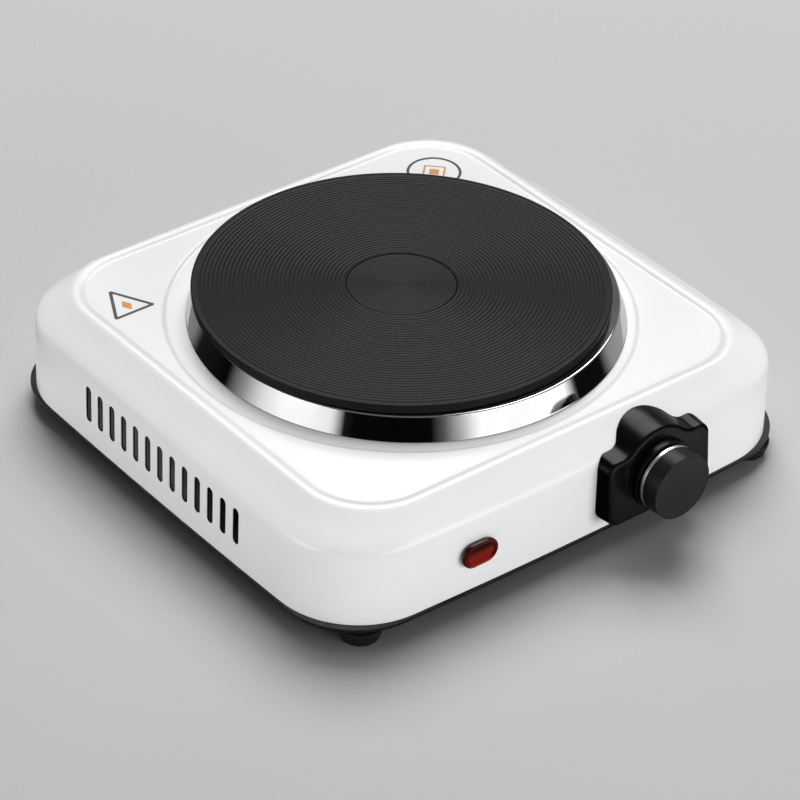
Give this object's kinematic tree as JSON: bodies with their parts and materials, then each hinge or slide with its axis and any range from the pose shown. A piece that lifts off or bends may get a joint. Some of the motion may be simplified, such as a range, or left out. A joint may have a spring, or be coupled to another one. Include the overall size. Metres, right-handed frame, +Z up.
{
  "type": "electric hot plate",
  "caption": "Free-standing electric hot plate with a round cast-iron burner in a steel housing, worked by a front thermostat knob.",
  "frame": {"origin": "on the table under the middle of the bounding box, which runs from the knob face to the end of the rear gland", "axes": "+Z up, -Y to the front where the knob is, +X to the right seen from the front"},
  "size_m": [0.2618, 0.2784, 0.0715],
  "materials": {
    "enamel": "glossy white enamel",
    "black_paint": "semi-gloss black paint",
    "cast_iron": "matt black, turned",
    "polished_steel": "polished",
    "satin_band": "satin",
    "black_plastic": "satin black",
    "red_lens": "clear red",
    "heat_sleeve": "matt white",
    "neon_glass": "clear",
    "rubber": "matt black",
    "ceramic": "unglazed",
    "brass": "plain",
    "zinc_steel": "zinc plated",
    "wire_brown": "matt",
    "wire_red": "matt",
    "wire_blue": "matt",
    "wire_green": "matt"
  },
  "bodies": {
    "housing": {"top_housing": "enamel", "base_tray": "black_paint", "foot_front_left": "rubber", "foot_screw_front_left": "zinc_steel", "foot_front_right": "rubber", "foot_screw_front_right": "zinc_steel", "foot_rear_left": "rubber", "foot_screw_rear_left": "zinc_steel", "foot_rear_right": "rubber", "foot_screw_rear_right": "zinc_steel", "base_screw_1": "zinc_steel", "base_screw_2": "zinc_steel", "base_screw_3": "zinc_steel", "base_screw_4": "zinc_steel", "hot_plate": "cast_iron", "trim_ring": "polished_steel", "heating_coil": "zinc_steel", "coil_cover": "zinc_steel", "plate_stud": "zinc_steel", "plate_bracket": "zinc_steel", "bracket_washer": "zinc_steel", "bracket_nut": "zinc_steel", "terminal_ceramic": "ceramic", "plate_terminal_live": "zinc_steel", "plate_terminal_neutral": "zinc_steel", "control_housing": "black_plastic", "thermostat_plate": "zinc_steel", "thermostat_bush": "brass", "thermostat_stack": "ceramic", "thermostat_rivet": "zinc_steel", "contact_arm_foot": "brass", "fixed_contact": "brass", "bimetal_foot": "zinc_steel", "thermostat_screw_1": "zinc_steel", "thermostat_screw_2": "zinc_steel", "lamp_lens": "red_lens", "lamp_holder": "heat_sleeve", "neon_bulb": "neon_glass", "cord_gland": "rubber", "mains_terminal_block": "ceramic", "mains_terminal_screw_1": "brass", "mains_terminal_screw_2": "brass", "mains_terminal_screw_3": "brass", "earth_screw": "zinc_steel", "earth_nut": "brass", "thermal_fuse": "heat_sleeve", "live_wire": "wire_brown", "switched_wire": "wire_red", "plate_live_wire": "wire_red", "neutral_wire": "wire_blue", "earth_wire": "wire_green", "lamp_lead_live": "wire_red", "lamp_lead_neutral": "wire_blue"},
    "control": {"knob": "black_plastic", "knob_trim_band": "satin_band", "knob_spring_clip": "zinc_steel", "thermostat_shaft": "zinc_steel"},
    "push_pin": {"thermostat_push_pin": "ceramic"},
    "contact_arm": {"contact_arm": "brass"},
    "bimetal_blade": {"bimetal_blade": "zinc_steel"}
  },
  "joints": [
    {"name": "knob_turn", "type": "hinge", "parent": "housing", "child": "control", "pos_m": [0.035, -0.1304, 0.0337], "axis": [0, 1, 0], "range_deg": [0, 270]},
    {"name": "pin_travel", "type": "slide", "parent": "housing", "child": "push_pin", "axis": [0, 1, 0], "range_m": [0, 0.0008]},
    {"name": "contact_flex", "type": "hinge", "parent": "housing", "child": "contact_arm", "pos_m": [0.035, -0.0953, 0.0259], "axis": [-1, 0, 0], "range_deg": [0, 6.5]},
    {"name": "bimetal_bend", "type": "hinge", "parent": "housing", "child": "bimetal_blade", "pos_m": [0.035, -0.0843, 0.0259], "axis": [-1, 0, 0], "range_deg": [0, 3], "stiffness_Nm_per_rad": 0.02}
  ],
  "couplings": [
    {"joint": "pin_travel", "follows": "knob_turn", "m_per_rad": 0.00016},
    {"joint": "contact_flex", "follows": "knob_turn", "ratio": 0.022}
  ]
}
